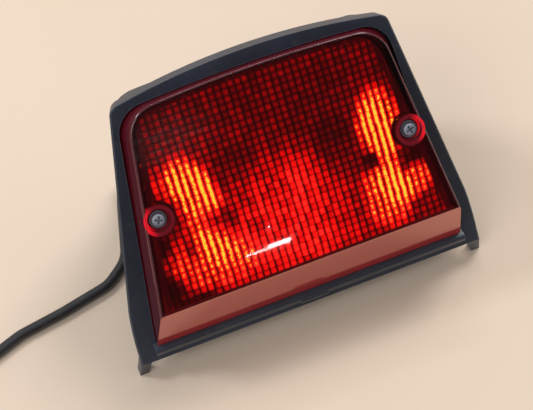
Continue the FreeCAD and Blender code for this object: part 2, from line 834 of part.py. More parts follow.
def bulb_holder(side, sign):
    """The plated sleeve that the bulb's cap locks into, with its two open slots."""
    label = "bulb_holder_" + side
    inner = sized("cap_radius") + 0.2
    outer = sized("holder_radius")
    body = tube(label, outer, inner, -14.0, 6.0)
    slot = polygon_sketch(body, "Slot", "XY_Plane", [(-11, -1.3), (11, -1.3), (11, 1.3), (-11, 1.3)], -2.0)
    pocket(body, slot, 13.0)
    place(body, label, socket_frame(sign))


CAP_RIM = -14.9
GLASS_END = -15.0
NECK_RADIUS = 7.0


def cylinder(name, radius, low, high, x=0.0, y=0.0):
    """A Part cylinder along its own Z axis."""
    item = doc.addObject("Part::Cylinder", name)
    radius = as_size(radius)
    item.Radius = radius.value
    if "Dimensions." in radius.text:
        item.setExpression("Radius", radius.text)
    item.Height = high - low
    item.Placement = Placement(Vector(x, y, low), Rotation())
    return item


def ball(name, radius, level):
    item = doc.addObject("Part::Sphere", name)
    item.Radius = radius.value
    item.setExpression("Radius", radius.text)
    item.Placement = Placement(Vector(0, 0, level), Rotation())
    return item


def joined(name, items):
    """A fusion of Part objects."""
    item = doc.addObject("Part::MultiFuse", name)
    item.Shapes = items
    item.Refine = True
    return item


def removed(name, base, tool):
    item = doc.addObject("Part::Cut", name)
    item.Base = base
    item.Tool = tool
    return item


def bulb_glass(side, sign):
    label = "bulb_glass_" + side
    centre = -dim("filament_reach")
    radius = sized("glass_radius")
    wall = dim("glass_wall")
    outer = joined(label + "_outer", [ball(label + "_ball", radius, centre), cylinder(label + "_neck", NECK_RADIUS, -30.0, GLASS_END)])
    inner = joined(label + "_inner", [
        ball(label + "_hollow", radius - wall, centre),
        cylinder(label + "_bore", NECK_RADIUS - wall, -30.0, GLASS_END + 1),
    ])
    place(removed(label, outer, inner), label, socket_frame(sign))


def bulb_cap(side, sign):
    """The bayonet cap with its two pins and two lead contacts."""
    label = "bulb_cap_" + side
    radius = sized("cap_radius")
    body = turned(label, [
        (0, CAP_RIM),
        (radius, CAP_RIM),
        (radius, 0.6),
        (radius - 1.2, 1.2),
        (0, 1.2),
    ])
    pins = polygon_sketch(body, "Pins", "XY_Plane", [(-8.4, -0.9), (8.4, -0.9), (8.4, 0.9), (-8.4, 0.9)], -7.0)
    pad(body, pins, 1.8, "PinPad")
    dots = circle_sketch(body, "Leads", [1.6], 1.0, ((-3.2, 0), (3.2, 0)))
    pad(body, dots, 1.2, "LeadPad")
    place(body, label, socket_frame(sign))


def filament(side, sign):
    """Two support wires with the coil across them."""
    label = "filament_" + side
    reach = -dim("filament_reach")
    wires = [
        cylinder(label + "_wire_%d" % index, 0.45, reach - 0.4, CAP_RIM - 0.05, 0, y)
        for index, y in enumerate((-3.2, 3.2))
    ]
    coil = cylinder(label + "_coil", 0.9, -3.2, 3.2)
    coil.Placement = Placement(Vector(0, 3.2, reach), Rotation(Vector(1, 0, 0), 90))
    place(joined(label, wires + [coil]), label, socket_frame(sign))


def contact_plate(side, sign):
    """The insulating disc with two spring-fed contacts that the bulb presses back."""
    label = "contact_plate_" + side
    body = tube(label, 7.2, 1.2, 2.45, 3.9)
    studs = circle_sketch(body, "Contacts", [1.5], 2.25, ((-3.2, 0), (3.2, 0)))
    pad(body, studs, 1.0, "ContactPad")
    place(body, label, socket_frame(sign))


def contact_spring(side, sign):
    """The coned spring washer behind the contact plate."""
    label = "contact_spring_" + side
    body = turned(label, [
        (6.7, 4.0),
        (6.9, 4.3),
        (3.4, 6.1),
        (3.2, 5.8),
    ])
    place(body, label, socket_frame(sign))


def socket_boot(side, sign):
    """The rubber boot over the socket's neck."""
    label = "socket_boot_" + side
    body = turned(label, [
        (9.02, 9.2),
        (10.6, 9.2),
        (10.8, 11.0),
        (10.4, 15.8),
        (5.6, 18.0),
        (4.4, 22.0),
        (sized("branch_radius") + 0.08, 22.0),
        (sized("branch_radius") + 0.08, 15.6),
        (9.02, 15.6),
    ])
    place(body, label, socket_frame(sign))


for side, sign in SIDES.items():
    socket_body(side, sign)
    socket_seal(side, sign)
    bulb_holder(side, sign)
    bulb_glass(side, sign)
    bulb_cap(side, sign)
    filament(side, sign)
    contact_plate(side, sign)
    contact_spring(side, sign)
    socket_boot(side, sign)

# ---------------------------------------------------------------- rear studs


def studs_group():
    """Four M6 studs with flat heads and thicker roots, moulded into the housing's rear bosses."""
    studs = []
    head_seat = STUD_HEAD_INSET - dim("stud_boss_depth")
    for x, z in stud_centres():
        at = Vector(x, head_seat, z)
        head = Part.makeCylinder(STUD_HEAD_RADIUS, STUD_HEAD_DEPTH, at, Vector(0, 1, 0))
        root = Part.makeCylinder(STUD_ROOT_RADIUS, -head_seat, at, Vector(0, 1, 0))
        shank = Part.makeCylinder(dim("stud_radius"), dim("stud_reach") - head_seat, at, Vector(0, 1, 0))
        stud = head.fuse([root, shank]).removeSplitter()
        tip = [e for e in stud.Edges if abs(e.BoundBox.YMin - dim("stud_reach")) < 1e-6]
        studs.append(stud.makeChamfer(STUD_TIP_CHAMFER, tip))
    return Part.makeCompound(studs)


shape_part("rear_studs", studs_group())

# ---------------------------------------------------------------- cable


def run_of(radius, points, bend):
    """A round sleeve along straight lengths through the points, with bends of the given radius."""
    vectors = [Vector(*p) for p in points]
    edges = []
    cursor = vectors[0]
    for before, corner, after in zip(vectors, vectors[1:], vectors[2:]):
        come = (corner - before).normalize()
        go = (after - corner).normalize()
        half_angle = come.getAngle(go) / 2
        shortest = min(corner.distanceToPoint(before), corner.distanceToPoint(after))
        reach = min(bend * math.tan(half_angle), 0.48 * shortest)
        arc_radius = reach / math.tan(half_angle)
        middle = corner + (go - come).normalize() * (arc_radius / math.cos(half_angle) - arc_radius)
        first = corner - come * reach
        last = corner + go * reach
        edges.append(Part.makeLine(cursor, first))
        edges.append(Part.Arc(first, middle, last).toShape())
        cursor = last
    edges.append(Part.makeLine(cursor, vectors[-1]))
    section = Part.Wire([Part.makeCircle(radius, vectors[0], vectors[1] - vectors[0])])
    return Part.Wire(edges).makePipeShell([section], True, False)


FLOOR = SOLE + dim("cable_radius") + 0.05
JUNCTION_TOP = Vector(-60.0, 11.0, SOLE + 40.0)
JUNCTION_LINE = Vector(-0.45, -0.06, -0.89).normalize()
JUNCTION_LENGTH = 16.0
JUNCTION_SIDE = JUNCTION_LINE.cross(Vector(0, 1, 0)).normalize()
BRANCH_SPREAD = 2.6
BRANCH_DEPTH = 11.0
BRANCH_BEND = 8.0
CABLE_BEND = 22.0


def branch_lead(side, sign):
    """The sleeve from one socket, behind the housing, to the junction."""
    x = sign * dim("bulb_half_span")
    z = dim("bulb_height")
    end = JUNCTION_TOP + JUNCTION_SIDE * (BRANCH_SPREAD * sign) - JUNCTION_LINE * 0.05
    points = [(x, -6.3, z), (x, BRANCH_DEPTH - 1.5, z)]
    if sign > 0:
        points += [(0, BRANCH_DEPTH, z - 11), (-30, BRANCH_DEPTH + 0.5, z - 12), tuple(end - JUNCTION_LINE * 9)]
    else:
        points += [tuple(end - JUNCTION_LINE * 16)]
    points.append(tuple(end))
    shape_part("branch_lead_" + side, run_of(dim("branch_radius"), points, BRANCH_BEND))


for side, sign in SIDES.items():
    branch_lead(side, sign)


def lead_junction():
    """The moulded sleeve where the two branches become one cable."""
    frame = Placement(JUNCTION_TOP, Rotation(JUNCTION_SIDE, JUNCTION_LINE.cross(JUNCTION_SIDE), JUNCTION_LINE, "ZXY"))
    wires = []
    for level, wide, deep in ((0.0, 6.2, 3.6), (4.0, 6.4, 4.0), (11.0, 4.6, 4.2), (JUNCTION_LENGTH, 4.0, 3.9)):
        ellipse = Part.Ellipse(Vector(0, 0, level), wide, deep)
        wires.append(placed(Part.Wire([ellipse.toShape()]), frame))
    return Part.makeLoft(wires, True, False)


shape_part("lead_junction", lead_junction())

CABLE_END = Vector(-222.0, -83.0, FLOOR)
CABLE_LINE = Vector(-0.95, -0.31, 0).normalize()


def cable_sleeve():
    """The main sleeve, from the junction down to the floor and away to the left."""
    start = JUNCTION_TOP + JUNCTION_LINE * (JUNCTION_LENGTH + 0.05)
    points = [
        tuple(start),
        tuple(start + JUNCTION_LINE * 19.0),
        (-81.8, -7.0, FLOOR + 0.6),
        (-91.5, -41.5, FLOOR),
        (-107.0, -53.0, FLOOR),
        (-138.0, -59.5, FLOOR),
        (-165.0, -63.6, FLOOR),
        tuple(CABLE_END),
    ]
    return run_of(dim("cable_radius"), points, CABLE_BEND)


shape_part("cable_sleeve", cable_sleeve())

# ---------------------------------------------------------------- connector
# Local frame: origin at the end of the cable sleeve, +Z along the cable, +Y up.

connector_frame = Placement(CABLE_END, Rotation(CABLE_LINE.cross(Vector(0, 0, -1)), Vector(0, 0, 1), CABLE_LINE, "ZXY"))
CONNECTOR_START = 16.0
CONNECTOR_LENGTH = 24.0
POLE_PITCH = 5.0
POLES = (-1, 0, 1)


def connector_wires():
    wires = []
    for pole in POLES:
        x0 = pole * 2.05
        x1 = pole * POLE_PITCH
        points = [
            (x0, 0, 0.05),
            (x0, 0.01, 4.0),
            (x1, 0.01, CONNECTOR_START - 3.0),
            (x1, 0, CONNECTOR_START + 3.0),
        ]
        wires.append(run_of(dim("wire_radius"), points, 6.0))
    return placed(Part.makeCompound(wires), connector_frame)


def connector_housing():
    """A three-way moulded plug with a latch and open blade cavities."""
    half_wide, half_high = 9.0, 3.25
    end = CONNECTOR_START + CONNECTOR_LENGTH
    body = box(-half_wide, half_wide, -half_high, half_high, CONNECTOR_START, end)
    body = body.makeFillet(0.8, [e for e in body.Edges if abs(e.BoundBox.ZLength - CONNECTOR_LENGTH) < 1e-6])
    latch = box(-2.5, 2.5, half_high - 0.2, half_high + 1.6, CONNECTOR_START + 6, end - 6)
    body = body.fuse(latch)
    for pole in POLES:
        x = pole * POLE_PITCH
        body = body.cut(disc(dim("wire_radius") + 0.06, CONNECTOR_START - 1, CONNECTOR_START + 4.2, x))
        body = body.cut(box(x - 1.9, x + 1.9, -1.4, 1.4, CONNECTOR_START + 4.0, end + 1))
    return placed(body, connector_frame)


def connector_terminals():
    """Three tin-plated receptacles inside the plug."""
    terminals = []
    for pole in POLES:
        x = pole * POLE_PITCH
        low = CONNECTOR_START + 4.1
        outer = box(x - 1.8, x + 1.8, -1.3, 1.3, low, low + 15)
        hollow = box(x - 1.4, x + 1.4, -0.9, 0.9, low + 3, low + 16)
        terminals.append(outer.cut(hollow))
    return placed(Part.makeCompound(terminals), connector_frame)


shape_part("connector_wires", connector_wires())
shape_part("connector_housing", connector_housing())
shape_part("connector_terminals", connector_terminals())

# ---------------------------------------------------------------- checks and files


def check_document():
    doc.recompute()
    for obj in doc.Objects:
        if "Invalid" in obj.State or "Error" in obj.State:
            raise RuntimeError("%s is %s" % (obj.Name, obj.State))
    for obj in PARTS:
        if obj.Shape.isNull() or not obj.Shape.isValid() or not obj.Shape.Solids:
            raise RuntimeError("%s has no valid solid" % obj.Label)


check_document()
os.makedirs("parts", exist_ok=True)
for part in PARTS:
    part.Shape.exportStep("parts/%s.step" % part.Label)
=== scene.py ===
import math

import bpy
from mathutils import Matrix, Vector


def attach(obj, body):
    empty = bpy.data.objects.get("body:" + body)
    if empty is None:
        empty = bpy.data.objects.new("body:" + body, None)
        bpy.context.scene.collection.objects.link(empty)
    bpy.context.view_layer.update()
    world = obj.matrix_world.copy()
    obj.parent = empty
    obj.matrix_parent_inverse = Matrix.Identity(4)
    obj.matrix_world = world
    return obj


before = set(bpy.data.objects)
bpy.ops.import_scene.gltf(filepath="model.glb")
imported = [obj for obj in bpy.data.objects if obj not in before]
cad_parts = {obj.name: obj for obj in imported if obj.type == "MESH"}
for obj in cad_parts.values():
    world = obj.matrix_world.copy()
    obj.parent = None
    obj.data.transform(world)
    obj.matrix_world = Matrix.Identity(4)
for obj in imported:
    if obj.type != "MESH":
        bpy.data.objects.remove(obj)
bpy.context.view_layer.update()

# Lens face frame, in the row frame and in millimetres: u across, v up the face, w out of the face.
FACE_TILT = math.radians(40.0)
FACE_ORIGIN = Vector((0.0, -108.0, 5.0))
FACE_V = Vector((0.0, math.cos(FACE_TILT), math.sin(FACE_TILT)))
FACE_W = Vector((0.0, -math.sin(FACE_TILT), math.cos(FACE_TILT)))
MM = 0.001
SOLE = -0.059  # height of the feet's soles, in metres

# Layout of the lens face, in millimetres of the face frame.
SCREW_U = 74.0  # the screws stand at u = -SCREW_U and u = SCREW_U
SCREW_V = 52.3
CELL_U = 4.0  # pitch of the pillows
CELL_V = 3.85
SIDE_SLANT = 0.155  # how fast the fluted area narrows going up the face
TOP_ARCH = 0.00075  # curvature of the fluted area's upper edge
BULB_TIP_Y = (-56.0, -57.2)  # where the filament's supports end and its hot coil begins

# The connector's wires lie side by side along WIRES_ACROSS, which is in the row frame.
CABLE_END = Vector((-222.0, -83.0, 0.0))
WIRES_ACROSS = Vector((0.31, -0.95, 0.0))

# Where the camera and the lights stand and look, in metres in the row frame.
CAMERA_PLACE = Vector((-0.14666, -0.40230, 0.76816))
CAMERA_TARGET = Vector((-0.02804, -0.10800, 0.10052))
CAMERA_LENS = 101.3
LAMP_MIDDLE = (0.0, -0.05, 0.0)


def face_point(u, v, w):
    """A point of the face frame, in metres in the row frame."""
    return (FACE_ORIGIN + Vector((u, 0.0, 0.0)) + FACE_V * v + FACE_W * w) * MM


def link(name, data):
    """A new object of that data, in the scene."""
    obj = bpy.data.objects.new(name, data)
    bpy.context.scene.collection.objects.link(obj)
    return obj


def aim(place, target):
    """The turn that points a camera or a light at place towards target."""
    return (Vector(target) - Vector(place)).to_track_quat("-Z", "Y").to_euler()


# ------------------------------------------------------------------ node helpers


class Nodes:
    """Short calls for one material's node tree."""

    def __init__(self, name):
        self.mat = bpy.data.materials.new(name)
        self.mat.use_nodes = True
        self.tree = self.mat.node_tree
        self.tree.nodes.clear()
        self.out = self.tree.nodes.new("ShaderNodeOutputMaterial")
        self.coord = self.tree.nodes.new("ShaderNodeTexCoord").outputs["Object"]

    def new(self, kind, **settings):
        node = self.tree.nodes.new(kind)
        for key, value in settings.items():
            setattr(node, key, value)
        return node

    def put(self, socket, value):
        if isinstance(value, bpy.types.NodeSocket):
            self.tree.links.new(value, socket)
        elif isinstance(value, (tuple, list)) and len(value) == 3 and socket.type == "RGBA":
            socket.default_value = (*value, 1.0)
        else:
            socket.default_value = value

    def math(self, operation, a, b=None, c=None, clamp=False):
        node = self.new("ShaderNodeMath", operation=operation, use_clamp=clamp)
        for index, value in enumerate((a, b, c)):
            if value is not None:
                self.put(node.inputs[index], value)
        return node.outputs[0]

    def add(self, a, b):
        return self.math("ADD", a, b)

    def mul(self, a, b, clamp=False):
        return self.math("MULTIPLY", a, b, clamp=clamp)

    def dot(self, a, b):
        node = self.new("ShaderNodeVectorMath", operation="DOT_PRODUCT")
        self.put(node.inputs[0], a)
        self.put(node.inputs[1], b)
        return node.outputs["Value"]

    def along(self, direction):
        """Millimetres along a direction, in the row frame."""
        return self.dot(self.coord, direction / MM)

    def far(self, a, b):
        """a * a + b * b."""
        return self.add(self.mul(a, a), self.mul(b, b))

    def noise(self, scale, detail=2.0, rough=0.5, vector=None):
        node = self.new("ShaderNodeTexNoise", noise_dimensions="3D")
        self.put(node.inputs["Vector"], vector or self.coord)
        node.inputs["Scale"].default_value = scale
        node.inputs["Detail"].default_value = detail
        node.inputs["Roughness"].default_value = rough
        return node.outputs["Fac"]

    def stretch(self, scale):
        node = self.new("ShaderNodeMapping")
        self.put(node.inputs["Vector"], self.coord)
        node.inputs["Scale"].default_value = scale
        return node.outputs["Vector"]

    def ramp(self, fac, stops):
        """A colour for fac from (position, colour) stops."""
        node = self.new("ShaderNodeValToRGB")
        elements = node.color_ramp.elements
        while len(elements) < len(stops):
            elements.new(0.5)
        for element, (position, colour) in zip(elements, stops):
            element.position = position
            element.color = (*colour, 1.0)
        self.put(node.inputs["Fac"], fac)
        return node.outputs["Color"]

    def between(self, value, low, high, to_low=0.0, to_high=1.0):
        """A smooth step from to_low at low to to_high at high."""
        node = self.new("ShaderNodeMapRange", interpolation_type="SMOOTHSTEP")
        self.put(node.inputs["Value"], value)
        node.inputs["From Min"].default_value = low
        node.inputs["From Max"].default_value = high
        node.inputs["To Min"].default_value = to_low
        node.inputs["To Max"].default_value = to_high
        return node.outputs["Result"]

    def mix(self, fac, a, b):
        """A colour between a and b."""
        node = self.new("ShaderNodeMix", data_type="RGBA")
        self.put(node.inputs[0], fac)
        self.put(node.inputs[6], a)
        self.put(node.inputs[7], b)
        return node.outputs[2]

    def bump(self, height, strength, distance):
        node = self.new("ShaderNodeBump")
        node.inputs["Strength"].default_value = strength
        node.inputs["Distance"].default_value = distance
        self.put(node.inputs["Height"], height)
        return node.outputs["Normal"]

    def edge_wear_and_highlight(self, radius):
        """0 on flat faces, towards 1 on sharp edges."""
        bevel = self.new("ShaderNodeBevel", samples=4)
        bevel.inputs["Radius"].default_value = radius
        normal = self.new("ShaderNodeNewGeometry").outputs["Normal"]
        return self.between(self.dot(bevel.outputs[0], normal), 0.99, 0.86)

    def sheen(self, ior):
        """Fresnel reflection of surfaces that face the viewer, none where seen from inside."""
        fresnel = self.new("ShaderNodeFresnel")
        fresnel.inputs["IOR"].default_value = ior
        inside = self.new("ShaderNodeNewGeometry").outputs["Backfacing"]
        return self.mul(fresnel.outputs[0], self.math("SUBTRACT", 1.0, inside))

    def shader(self, kind, **values):
        """A shader of that kind, with its inputs set by name."""
        node = self.new("ShaderNodeBsdf" + kind)
        for key, value in values.items():
            self.put(node.inputs[key.replace("_", " ")], value)
        return node.outputs[0]

    def principled(self, **values):
        return self.shader("Principled", **values)

    def blend(self, fac, a, b):
        """A shader between a and b."""
        node = self.new("ShaderNodeMixShader")
        self.put(node.inputs[0], fac)
        self.put(node.inputs[1], a)
        self.put(node.inputs[2], b)
        return node.outputs[0]

    def finish(self, shader):
        self.tree.links.new(shader, self.out.inputs["Surface"])
        return self.mat


# ------------------------------------------------------------------ materials


def moulded_plastic(name, face_colour, worn_and_highlight_colour, roughness):
    """Fine-grained moulding, a little dusty, paler along its edges from rubbed wear and from a painted
    edge highlight.
    """
    n = Nodes(name)
    broad = n.noise(38.0, 3.0, 0.6)
    fine = n.noise(1500.0, 2.0, 0.55)
    dust = n.between(n.noise(160.0, 4.0, 0.7), 0.56, 0.74)
    base = n.mix(n.between(broad, 0.35, 0.7), face_colour, tuple(c * 1.28 for c in face_colour))
    base = n.mix(n.mul(dust, 0.10), base, (0.30, 0.28, 0.26))
    # paler edges: partly rubbed wear, partly a painted highlight along the edges
    base = n.mix(n.mul(n.edge_wear_and_highlight(0.0007), 0.55), base, worn_and_highlight_colour)
    rough = n.add(n.mul(broad, 0.16), roughness - 0.08)
    return n.finish(n.principled(
        Base_Color=base,
        Roughness=rough,
        Normal=n.bump(fine, 0.35, 0.00006),
        Specular_IOR_Level=0.5,
    ))


def rubber(name, colour, roughness=0.62):
    """Dull rubber with uneven shade."""
    n = Nodes(name)
    fine = n.noise(900.0, 3.0, 0.6)
    broad = n.noise(60.0, 2.0)
    base = n.mix(n.between(broad, 0.3, 0.75), colour, tuple(c * 1.6 + 0.004 for c in colour))
    return n.finish(n.principled(
        Base_Color=base,
        Roughness=n.add(roughness - 0.1, n.mul(broad, 0.2)),
        Normal=n.bump(fine, 0.4, 0.00008),
    ))


def foam(name):
    """Dark foam with small cells."""
    n = Nodes(name)
    voronoi = n.new("ShaderNodeTexVoronoi")
    n.put(voronoi.inputs["Vector"], n.coord)
    voronoi.inputs["Scale"].default_value = 1600.0
    cells = voronoi.outputs["Distance"]
    base = n.mix(cells, (0.012, 0.012, 0.013), (0.05, 0.05, 0.052))
    return n.finish(n.principled(Base_Color=base, Roughness=0.9, Normal=n.bump(cells, 0.7, 0.0002)))


def metal(name, colour, roughness, tint, scale=420.0, patches=0.35):
    """Plated metal, mottled, with patches of a second tint."""
    n = Nodes(name)
    mottle = n.noise(scale, 4.0, 0.65)
    broad = n.noise(scale * 0.12, 3.0, 0.6)
    base = n.mix(n.mul(n.between(broad, 0.35, 0.75), patches), colour, tint)
    rough = n.add(n.mul(mottle, 0.22), roughness - 0.1)
    return n.finish(n.principled(
        Base_Color=base,
        Metallic=0.92,
        Roughness=rough,
        Normal=n.bump(mottle, 0.18, 0.00005),
    ))


def metallised(name):
    """The reflector's bright coating, slightly rippled and specked."""
    n = Nodes(name)
    ripple = n.noise(55.0, 2.0)
    specks = n.between(n.noise(700.0, 3.0, 0.7), 0.62, 0.72)
    base = n.mix(n.mul(specks, 0.3), (0.86, 0.86, 0.88), (0.5, 0.48, 0.46))
    return n.finish(n.principled(
        Base_Color=base,
        Metallic=1.0,
        Roughness=n.add(0.06, n.mul(ripple, 0.08)),
        Normal=n.bump(ripple, 0.12, 0.0006),
    ))


def clear_glass(name):
    """Thin clear glass with a slight haze."""
    n = Nodes(name)
    haze = n.noise(90.0, 3.0, 0.6)
    clear = n.shader("Transparent", Color=(0.93, 0.95, 0.95))
    gloss = n.shader("Glossy", Roughness=n.add(0.02, n.mul(haze, 0.05)))
    return n.finish(n.blend(n.add(n.sheen(1.5), n.mul(haze, 0.06)), clear, gloss))


def hot_wire(name):
    """Filament supports of grey metal that end in a glowing coil."""
    n = Nodes(name)
    hot = n.between(n.along(Vector((0.0, 1.0, 0.0))), *BULB_TIP_Y)
    base = n.mix(n.noise(800.0), (0.25, 0.24, 0.24), (0.45, 0.44, 0.43))
    return n.finish(n.principled(
        Base_Color=base,
        Metallic=0.8,
        Roughness=0.4,
        Emission_Color=(1.0, 0.62, 0.28),
        Emission_Strength=n.mul(hot, 6.0),
    ))


def phenolic(name):
    """Brown board with fibres."""
    n = Nodes(name)
    fibres = n.noise(500.0, 4.0, 0.7, n.stretch((1.0, 1.0, 5.0)))
    base = n.mix(fibres, (0.20, 0.095, 0.035), (0.34, 0.19, 0.08))
    return n.finish(n.principled(Base_Color=base, Roughness=0.55, Normal=n.bump(fibres, 0.3, 0.00005)))


def pvc(name):
    """Shiny black sleeve, dusty and a little lumpy."""
    n = Nodes(name)
    broad = n.noise(70.0, 3.0, 0.6)
    fine = n.noise(650.0, 3.0, 0.6)
    dust = n.between(n.noise(240.0, 4.0, 0.7), 0.55, 0.75)
    base = n.mix(broad, (0.010, 0.010, 0.011), (0.022, 0.022, 0.024))
    base = n.mix(n.mul(dust, 0.12), base, (0.25, 0.24, 0.22))
    return n.finish(n.principled(
        Base_Color=base,
        Roughness=n.add(0.26, n.mul(broad, 0.2)),
        Normal=n.bump(n.add(fine, n.mul(broad, 2.0)), 0.3, 0.0001),
    ))


def wire_colours(name):
    """Each of the three wires takes its own colour from its place across the row."""
    n = Nodes(name)
    side = n.math("SUBTRACT", n.along(WIRES_ACROSS), CABLE_END.dot(WIRES_ACROSS))
    black_red = n.mix(n.between(side, -1.3, -1.0), (0.015, 0.015, 0.016), (0.42, 0.02, 0.02))
    base = n.mix(n.between(side, 1.0, 1.3), black_red, (0.30, 0.26, 0.02))
    fine = n.noise(700.0, 3.0)
    base = n.mix(n.mul(fine, 0.3), base, (0.08, 0.08, 0.08))
    return n.finish(n.principled(Base_Color=base, Roughness=0.4, Normal=n.bump(fine, 0.25, 0.00006)))


def nylon(name):
    """Off-white connector plastic."""
    n = Nodes(name)
    broad = n.noise(90.0, 3.0, 0.6)
    fine = n.noise(1100.0, 2.0)
    base = n.mix(broad, (0.62, 0.60, 0.52), (0.74, 0.72, 0.65))
    return n.finish(n.principled(
        Base_Color=base,
        Roughness=0.42,
        Normal=n.bump(fine, 0.25, 0.00006),
        Subsurface_Weight=0.1,
        Subsurface_Scale=0.002,
    ))


# ------------------------------------------------------------------ the lit lens

# Light patches on the lens: centre (u, v), half sizes, turn in degrees, strength, edge sharpness.
# HEAT is where the bulbs shine straight through and the beads turn yellow, GLOW is plain red.
HEAT = (
    (-51.0, 63.0, 11.5, 19.0, 18.0, 0.95, 3.2),
    (-43.5, 57.0, 5.0, 14.0, 18.0, 0.62, 2.0),
    (-63.0, 68.0, 9.0, 12.0, 10.0, 0.46, 2.2),
    (-56.0, 43.0, 6.0, 13.0, 12.0, 0.60, 2.2),
    (-53.0, 20.0, 25.0, 15.5, -18.0, 0.66, 3.4),
    (-47.0, 27.0, 10.0, 12.0, 20.0, 0.55, 1.6),
    (-30.0, 16.0, 8.0, 14.0, 20.0, 0.30, 1.8),
    (58.0, 62.0, 13.0, 20.0, -8.0, 0.98, 3.2),
    (56.0, 61.0, 7.0, 15.0, -4.0, 0.38, 1.6),
    (60.0, 42.0, 5.0, 12.0, 0.0, 0.66, 2.2),
    (52.0, 21.0, 14.0, 18.0, 12.0, 0.86, 3.2),
    (56.0, 27.0, 7.0, 12.0, 12.0, 0.55, 1.6),
    (71.0, 24.0, 12.0, 9.0, 30.0, 0.72, 2.8),
)
GLOW = (
    (0.0, 30.0, 36.0, 33.0, 0.0, 0.44, 2.0),
    (8.0, 48.0, 10.0, 12.0, 20.0, 0.22, 1.5),
    (-4.0, 22.0, 27.0, 20.0, 0.0, 0.20, 2.0),
    (0.0, 6.0, 74.0, 9.0, 0.0, 0.20, 2.0),
    (-40.0, 50.0, 40.0, 40.0, 0.0, 0.10, 2.0),
)
SHADOWS = (
    (-37.5, 41.0, 3.0, 7.0, 20.0, 0.60, 2.0),
    (48.5, 42.5, 4.2, 4.8, 10.0, 0.90, 2.2),
    (30.0, 62.0, 9.0, 16.0, -10.0, 0.45, 1.5),
    (-24.0, 70.0, 12.0, 9.0, 15.0, 0.45, 1.5),
    (-79.0, 36.0, 8.0, 8.0, 0.0, 0.95, 2.0),
    (-80.0, 10.0, 7.0, 10.0, 0.0, 0.92, 2.0),
    (-66.0, 0.0, 12.0, 5.0, 0.0, 0.80, 2.0),
    (-62.0, 30.0, 4.0, 5.0, 0.0, 0.60, 2.0),
    (76.0, 38.0, 8.0, 6.0, 0.0, 0.85, 2.0),
)
BASE_GLOW = 0.19


def patch_sum(n, u, v, patches):
    """The patches' strengths at (u, v), added up."""
    total = None
    for cu, cv, half_u, half_v, turn, strength, sharpness in patches:
        cos_t, sin_t = math.cos(math.radians(turn)), math.sin(math.radians(turn))
        du, dv = n.add(u, -cu), n.add(v, -cv)
        a = n.mul(n.add(n.mul(du, cos_t), n.mul(dv, sin_t)), 1.0 / half_u)
        b = n.mul(n.add(n.mul(dv, cos_t), n.mul(du, -sin_t)), 1.0 / half_v)
        fall = n.math("EXPONENT", n.mul(n.math("POWER", n.far(a, b), sharpness), -0.9))
        value = n.mul(fall, strength)
        total = value if total is None else n.add(total, value)
    return total


def face_coordinates(n):
    """u, v and w of the shaded point, in the face frame."""
    u = n.along(Vector((1.0, 0.0, 0.0)))
    v = n.add(n.along(FACE_V), -FACE_V.dot(FACE_ORIGIN))
    w = n.add(n.along(FACE_W), -FACE_W.dot(FACE_ORIGIN))
    return u, v, w


def screw_distance(n, u, v):
    """Distance from the nearer screw's axis."""
    du, dv = n.add(n.math("ABSOLUTE", u), -SCREW_U), n.add(v, -SCREW_V)
    return n.math("SQRT", n.far(du, dv))


def cell_of(n, value, pitch):
    """(centre of the cell, place within the cell from -1 to 1)."""
    index = n.math("FLOOR", n.mul(value, 1.0 / pitch))
    centre = n.mul(n.add(index, 0.5), pitch)
    within = n.mul(n.add(value, n.mul(centre, -1.0)), 2.0 / pitch)
    return centre, within


def pattern_area(n, u, v):
    """1 inside the fluted area, 0 on the plain margins and round the screws."""
    slant = n.add(n.math("ABSOLUTE", u), n.mul(v, SIDE_SLANT))
    inside = n.between(slant, 83.5, 82.0)
    inside = n.mul(inside, n.between(v, -0.5, 0.8))
    arch = n.add(v, n.mul(n.mul(u, u), TOP_ARCH))
    inside = n.mul(inside, n.between(arch, 111.8, 110.4))
    return n.mul(inside, n.between(screw_distance(n, u, v), 9.8, 11.0))


